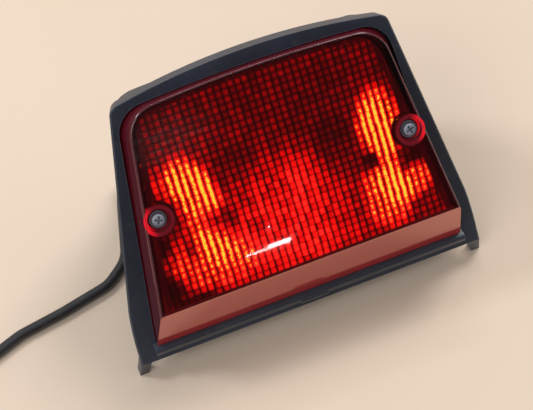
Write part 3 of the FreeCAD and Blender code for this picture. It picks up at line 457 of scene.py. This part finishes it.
def fluted_red(name):
    """The inner optic: rows and columns of small pillows, lit from behind in patches."""
    n = Nodes(name)
    u, v, _ = face_coordinates(n)
    cell_u, in_u = cell_of(n, u, CELL_U)
    cell_v, in_v = cell_of(n, v, CELL_V)
    where_u = n.add(cell_u, n.mul(n.add(n.noise(55.0), -0.5), 3.0))
    where_v = n.add(n.mul(cell_v, 0.6), n.mul(v, 0.4))
    shade = n.math("SUBTRACT", 1.0, patch_sum(n, where_u, where_v, SHADOWS), clamp=True)
    heat = n.mul(patch_sum(n, where_u, where_v, HEAT), shade)
    light = n.add(heat, n.mul(n.add(patch_sum(n, where_u, where_v, GLOW), BASE_GLOW), shade))

    cell = n.new("ShaderNodeCombineXYZ")
    n.put(cell.inputs[0], cell_u)
    n.put(cell.inputs[1], cell_v)
    by_cell = n.new("ShaderNodeTexWhiteNoise", noise_dimensions="2D")
    n.put(by_cell.inputs["Vector"], cell.outputs[0])
    by_cell = by_cell.outputs["Value"]
    by_column = n.new("ShaderNodeTexWhiteNoise", noise_dimensions="1D")
    n.put(by_column.inputs["W"], cell_u)
    by_column = by_column.outputs["Value"]
    sparkle = n.noise(1100.0, 2.0, 0.7)
    uneven = n.add(n.mul(by_cell, 0.55), n.add(n.mul(by_column, 0.20), 0.62))
    light = n.mul(light, n.mul(uneven, n.add(n.mul(sparkle, 1.1), 0.45)))

    # weak light shows separate soft beads, strong light runs along the columns
    across = n.math("ABSOLUTE", n.add(in_u, n.mul(n.add(by_cell, -0.5), 0.25)))
    up = n.math("ABSOLUTE", in_v)
    joined = n.between(light, 0.40, 0.95)
    bead_u = n.math("MAXIMUM", n.between(across, 1.02, 0.34, 0.10, 1.0), n.mul(joined, 0.14))
    bead_v = n.add(n.between(up, 1.05, 0.30, 0.36, 1.0), n.mul(joined, 0.28))
    bead = n.mul(bead_u, n.math("MINIMUM", bead_v, 1.0))
    area = pattern_area(n, u, v)
    colour = n.ramp(n.mul(n.mul(light, bead), 0.85, clamp=True), (
        (0.00, (0.014, 0.0008, 0.0014)),
        (0.08, (0.070, 0.0014, 0.0022)),
        (0.18, (0.240, 0.0018, 0.0028)),
        (0.34, (0.640, 0.0022, 0.0030)),
        (0.60, (1.000, 0.0080, 0.0060)),
        (1.00, (1.100, 0.0500, 0.0350)),
    ))
    # yellow cores of the beads, narrower than the beads and broken up along each column
    core_u = n.between(across, 0.66, 0.16)
    core_v = n.add(n.between(up, 0.95, 0.10, 0.50, 1.0), n.mul(n.between(heat, 0.8, 1.2), 0.4))
    flecks = n.between(n.noise(1000.0, 2.0, 0.65), 0.30, 0.66)
    broken = n.add(n.mul(flecks, 0.85), n.mul(by_cell, 0.30))
    core = n.mul(n.mul(core_u, core_v), n.mul(heat, n.add(broken, 0.20)))
    yellow = n.mul(n.between(core, 0.28, 0.80), area)
    specks = n.between(n.noise(1500.0, 2.0, 0.6), 0.60, 0.74)
    pink = n.mul(specks, n.mul(n.between(light, 0.45, 0.9), area))
    colour = n.mix(n.mul(pink, 0.55), colour, (1.05, 0.16, 0.09))
    colour = n.mix(yellow, colour, (1.25, 0.48, 0.02))
    colour = n.mix(n.mul(n.between(core, 0.52, 0.85), area), colour, (1.40, 1.25, 0.08))

    streaks = n.noise(40.0, 2.0, 0.6, n.stretch((10.0, 0.6, 0.6)))
    plain = n.mix(n.between(streaks, 0.5, 0.75), (0.030, 0.0014, 0.0028), (0.075, 0.0030, 0.0045))
    glow = n.mix(area, plain, colour)
    base = n.mix(area, (0.060, 0.0030, 0.0060), (0.040, 0.001, 0.0015))
    return n.finish(n.principled(
        Base_Color=base,
        Roughness=0.22,
        Specular_IOR_Level=0.12,
        Emission_Color=glow,
        Emission_Strength=1.0,
    ))


def lens_red(name):
    """The outer shell: polished red acrylic, clear over the optic, with a painted red glow in
    crescents at the screw wells.
    """
    n = Nodes(name)
    u, v, w = face_coordinates(n)
    away = screw_distance(n, u, v)
    facing = n.new("ShaderNodeNewGeometry").outputs["Normal"]
    on_face = n.between(n.dot(facing, FACE_W), 0.90, 0.97)
    on_wall = n.between(n.dot(facing, Vector((0.0, 1.0, 0.0))), -0.80, -0.95)
    well = n.mul(n.between(away, 5.2, 6.3), n.between(away, 9.4, 8.2))

    scratches = n.noise(260.0, 2.0, 0.5, n.stretch((1.0, 9.0, 9.0)))
    smears = n.between(n.noise(38.0, 4.0, 0.65), 0.58, 0.75)
    normal = n.bump(n.add(n.mul(scratches, 0.5), n.mul(smears, 0.2)), 0.02, 0.00002)

    # painted glow: a bright red crescent emitted on the outer side of each screw well
    outer = n.mul(n.add(n.math("ABSOLUTE", u), -SCREW_U), 1.0 / 8.0)
    painted_well_glow = n.mul(well, n.between(outer, 0.15, 0.95, 0.07, 1.0))
    # painted reflection: the lower wall's pale pinkish colour stands in for the floor seen in it;
    # darker red towards its back edge at the lip
    low_wall = n.between(w, -19.0, -28.0)
    wall_painted_reflection = n.mix(low_wall, (0.34, 0.050, 0.036), (0.22, 0.012, 0.016))
    side = n.mix(on_wall, (0.070, 0.006, 0.011), wall_painted_reflection)
    # painted glow: the shell's sides emit a dim red, the lower wall a little more, the screw wells
    # their crescents
    glow = n.mix(on_wall, (0.012, 0.0005, 0.0010), (0.050, 0.004, 0.004))
    glow = n.mix(n.mul(painted_well_glow, on_face), glow, (0.80, 0.004, 0.012))
    solid = n.principled(
        Base_Color=side,
        Roughness=n.add(0.035, n.mul(smears, 0.08)),
        Normal=normal,
        IOR=n.add(n.mul(on_wall, 0.35), 1.49),
        Specular_IOR_Level=n.add(n.mul(on_wall, 0.7), 0.55),
        Specular_Tint=n.mix(on_wall, (1.0, 0.95, 0.95), (1.0, 0.66, 0.56)),
        Emission_Color=glow,
        Emission_Strength=1.0,
    )

    clear = n.shader("Transparent", Color=(1.0, 0.72, 0.70))
    gloss = n.shader("Glossy", Roughness=n.add(0.02, n.mul(smears, 0.10)), Normal=normal)
    mirror = n.add(n.mul(n.sheen(1.49), 1.1), n.mul(smears, 0.012))
    polished = n.blend(mirror, clear, gloss)

    # fine scratches and haze in the upper left corner
    du, dv = n.mul(n.add(u, 58.0), 1.0 / 20.0), n.mul(n.add(v, -93.0), 1.0 / 13.0)
    corner = n.math("EXPONENT", n.mul(n.far(du, dv), -1.0))
    lines = n.between(n.noise(120.0, 3.0, 0.6, n.stretch((1.0, 7.0, 7.0))), 0.52, 0.70)
    veil = n.mul(corner, n.add(n.mul(lines, 0.05), 0.015))
    hazed = n.blend(veil, polished, n.shader("Diffuse", Color=(0.60, 0.50, 0.52)))

    see_through = n.mul(on_face, n.between(away, 8.4, 9.2))
    return n.finish(n.blend(see_through, solid, hazed))


# ------------------------------------------------------------------ the lens's inner optic

OPTIC_CELLS = (270, 176)  # faces across and up
OPTIC_V = (-0.3, 113.0)  # lower and upper edge on the centre line
OPTIC_TOP = -4.0  # w of the flat between pillows
OPTIC_BACK = -5.4
OPTIC_HOLE = 9.3  # radius round each screw well
PILLOW_RISE = (0.55, 0.30)  # height of the rows' and the columns' waves


def optic_half_width(v):
    """Half width of the optic at height v on the centre line, narrowing at its rounded top corners."""
    half = 86.6 - 0.1555 * v
    start, size = 100.0, 13.0
    if v > start:
        rise = min((v - start) / size, 1.0)
        half -= 10.0 * (1.0 - math.sqrt(max(0.0, 1.0 - rise * rise)))
    return half


def arch_drop(u, v):
    """How far the arched rows near the top edge drop towards the sides."""
    return 0.00068 * u * u * max(0.0, v / 113.0)


def screw_away(u, v):
    """Distance from the nearer screw's axis."""
    return math.hypot(abs(u) - SCREW_U, v - SCREW_V)


def pillow(u, v):
    """Height of the optic's inner relief at a point."""
    area = 1.0
    for inwards, fade in (
        (82.8 - abs(u) - SIDE_SLANT * v, 1.5),
        (v, 1.2),
        (111.2 - v - TOP_ARCH * u * u, 1.5),
        (screw_away(u, v) - 10.0, 1.0),
    ):
        area *= min(1.0, max(0.0, inwards / fade))
    in_u = 2.0 * (u / CELL_U - math.floor(u / CELL_U)) - 1.0
    in_v = 2.0 * (v / CELL_V - math.floor(v / CELL_V)) - 1.0
    return area * (PILLOW_RISE[0] * (1.0 - in_u * in_u) + PILLOW_RISE[1] * (1.0 - in_v * in_v))


def lens_optic(material):
    """The fluted sheet behind the lens face, a closed mesh that rides the lens."""
    across, up = OPTIC_CELLS
    low, high = OPTIC_V
    spots = []
    for j in range(up + 1):
        v = low + (high - low) * j / up
        half = optic_half_width(v)
        for i in range(across + 1):
            u = half * (2.0 * i / across - 1.0)
            spots.append((u, v - arch_drop(u, v)))
    wide = across + 1

    # leave out the faces inside a screw well, and pull the other points there out to its rim
    faces = []
    for j in range(up):
        for i in range(across):
            corners = (j * wide + i, j * wide + i + 1, (j + 1) * wide + i + 1, (j + 1) * wide + i)
            if not all(screw_away(*spots[c]) < OPTIC_HOLE for c in corners):
                faces.append(corners)
    for index, (u, v) in enumerate(spots):
        if screw_away(u, v) < OPTIC_HOLE:
            screw = Vector((SCREW_U if u > 0 else -SCREW_U, SCREW_V))
            spots[index] = tuple(screw + (Vector((u, v)) - screw).normalized() * OPTIC_HOLE)
    used = sorted({c for face in faces for c in face})
    place = {old: new for new, old in enumerate(used)}
    count = len(used)
    verts = [face_point(*spots[c], OPTIC_TOP + pillow(*spots[c])) for c in used]
    verts += [face_point(*spots[c], OPTIC_BACK) for c in used]

    # front, back and the walls between their open edges
    front = [tuple(place[c] for c in face) for face in faces]
    edges = {edge: True for face in front for edge in zip(face, face[1:] + face[:1])}
    closed = front + [tuple(c + count for c in reversed(face)) for face in front]
    closed += [(b, a, a + count, b + count) for a, b in edges if (b, a) not in edges]

    mesh = bpy.data.meshes.new("lens_optic")
    mesh.from_pydata([tuple(v) for v in verts], [], closed)
    mesh.validate()
    mesh.update()
    for polygon in mesh.polygons:
        polygon.use_smooth = True
    mesh.materials.append(material)
    obj = link("lens_optic", mesh)
    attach(obj, "lens")


# ------------------------------------------------------------------ dressing the CAD nodes

zinc = metal("zinc_plate", (0.34, 0.36, 0.42), 0.62, (0.25, 0.26, 0.31), 900.0, 0.6)
plated = metal("plated_steel", (0.62, 0.63, 0.66), 0.30, (0.45, 0.45, 0.47))

MATERIALS = {
    # the second colour is the paler edges: rubbed wear and a painted edge highlight
    "rear_housing": moulded_plastic(
        "black_moulding", (0.020, 0.026, 0.040), (0.16, 0.18, 0.22), 0.36),
    "lens": lens_red("lens_red"),
    "lens_gasket": foam("black_foam"),
    "sill_seal": foam("sill_foam"),
    "reflector": metallised("bright_metallising"),
    "rear_studs": metal("passivated_zinc", (0.62, 0.58, 0.44), 0.34, (0.52, 0.50, 0.46)),
    "lead_junction": rubber("junction_rubber", (0.014, 0.014, 0.015), 0.5),
    "cable_sleeve": pvc("pvc_sleeve"),
    "connector_wires": wire_colours("wire_insulation"),
    "connector_housing": nylon("connector_nylon"),
    "connector_terminals": metal("tin_plate", (0.68, 0.68, 0.66), 0.36, (0.5, 0.5, 0.5)),
}
PAIRS = {
    "lens_screw": zinc,
    "screw_washer": zinc,
    "post_insert": metal("brass", (0.70, 0.50, 0.20), 0.30, (0.50, 0.34, 0.14)),
    "socket_body": moulded_plastic(
        "socket_plastic", (0.030, 0.030, 0.032), (0.10, 0.10, 0.11), 0.5),
    "socket_seal": rubber("seal_rubber", (0.020, 0.020, 0.021)),
    "bulb_holder": plated,
    "bulb_glass": clear_glass("bulb_glass"),
    "bulb_cap": metal("cap_metal", (0.72, 0.66, 0.50), 0.28, (0.55, 0.50, 0.40)),
    "filament": hot_wire("tungsten"),
    "contact_plate": phenolic("brown_board"),
    "contact_spring": plated,
    "socket_boot": rubber("boot_rubber", (0.016, 0.016, 0.017), 0.55),
    "branch_lead": pvc("branch_sleeve"),
}
for stem, material in PAIRS.items():
    for hand in ("left", "right"):
        MATERIALS[f"{stem}_{hand}"] = material

for name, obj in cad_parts.items():
    obj.data.materials.clear()
    obj.data.materials.append(MATERIALS[name])

lens_optic(fluted_red("fluted_red"))

# ------------------------------------------------------------------ floor, light and camera


def floor_material():
    n = Nodes("pale_floor")
    broad = n.noise(3.0, 3.0, 0.6)
    fine = n.noise(400.0, 3.0, 0.6)
    base = n.mix(broad, (0.64, 0.51, 0.400), (0.72, 0.585, 0.465))
    return n.finish(n.principled(Base_Color=base, Roughness=0.85, Normal=n.bump(fine, 0.1, 0.0002)))


def make_floor():
    far = 6.0
    corners = [(-far, -far, SOLE), (far, -far, SOLE), (far, far, SOLE), (-far, far, SOLE)]
    mesh = bpy.data.meshes.new("floor")
    mesh.from_pydata(corners, [], [(0, 1, 2, 3)])
    mesh.materials.append(floor_material())
    link("floor", mesh)


def area_light(name, place, turn, size, energy, colour, size_y=None):
    """A rectangular light, size wide and size_y high (square if None), with its energy in watts."""
    data = bpy.data.lights.new(name, "AREA")
    data.shape = "RECTANGLE"
    data.size = size
    data.size_y = size_y or size
    data.energy = energy
    data.color = colour
    obj = link(name, data)
    obj.location = place
    obj.rotation_euler = turn


def room_light(name, place, size, energy, colour, size_y=None):
    area_light(name, place, aim(place, LAMP_MIDDLE), size, energy, colour, size_y)


def mirror_light(name, start, end, thickness, energy):
    """A thin strip that the lens face mirrors between its points start and end, given as (u, v)."""
    distance = 1.2
    ends = []
    for u, v in (start, end):
        point = face_point(u, v, 0.0)
        ray = (point - CAMERA_PLACE).normalized()
        ends.append(point + ray.reflect(FACE_W) * distance)
    along = ends[1] - ends[0]
    middle = (ends[0] + ends[1]) * 0.5
    centre = face_point((start[0] + end[0]) / 2, (start[1] + end[1]) / 2, 0.0)
    facing = (middle - centre).normalized()
    x_axis = (along - facing * along.dot(facing)).normalized()
    turn = Matrix((x_axis, facing.cross(x_axis), facing)).transposed().to_euler()
    area_light(name, middle, turn, along.length, energy, (1.0, 0.96, 0.94), thickness)


def soft_room():
    """An even pale room with a darker part high in front of the lamp, which the lens face mirrors."""
    world = bpy.data.worlds.new("soft_room")
    world.use_nodes = True
    nodes, links = world.node_tree.nodes, world.node_tree.links
    background = nodes["Background"]
    background.inputs["Strength"].default_value = 0.55
    coord = nodes.new("ShaderNodeTexCoord")
    facing = nodes.new("ShaderNodeVectorMath")
    facing.operation = "DOT_PRODUCT"
    facing.inputs[1].default_value = Vector((0.16, -0.82, 0.55)).normalized()
    links.new(coord.outputs["Generated"], facing.inputs[0])
    ramp = nodes.new("ShaderNodeValToRGB")
    ramp.color_ramp.interpolation = "EASE"
    pale, dark = ramp.color_ramp.elements
    pale.position, pale.color = 0.80, (0.95, 0.97, 1.0, 1.0)
    dark.position, dark.color = 0.94, (0.16, 0.10, 0.10, 1.0)
    links.new(facing.outputs["Value"], ramp.inputs["Fac"])
    links.new(ramp.outputs["Color"], background.inputs["Color"])
    return world


def make_camera():
    data = bpy.data.cameras.new("camera")
    data.lens = CAMERA_LENS
    data.sensor_width = 36.0
    data.clip_start = 0.01
    camera = link("camera", data)
    camera.location = CAMERA_PLACE
    camera.rotation_euler = aim(CAMERA_PLACE, CAMERA_TARGET)
    return camera


make_floor()
room_light("key", (1.1, 0.8, 1.8), 0.8, 24.0, (1.0, 0.97, 0.93))
room_light("fill", (-1.3, 0.8, 1.7), 0.45, 17.0, (0.92, 0.96, 1.0))
room_light("front", (-1.5, -0.8, 1.9), 1.2, 14.0, (1.0, 0.98, 0.95))
room_light("rim", (0.35, 1.3, 1.6), 0.7, 5.0, (1.0, 0.97, 0.95), 0.12)
mirror_light("streak", (-35.0, 16.6), (-9.0, 16.4), 0.0025, 0.012)
mirror_light("streak_tail", (-22.0, 17.5), (-8.0, 17.4), 0.004, 0.014)
mirror_light("spark", (-18.4, 28.1), (-17.8, 28.0), 0.003, 0.0022)
bpy.context.scene.world = soft_room()
bpy.context.scene.camera = make_camera()
bpy.context.scene.view_settings.view_transform = "Standard"
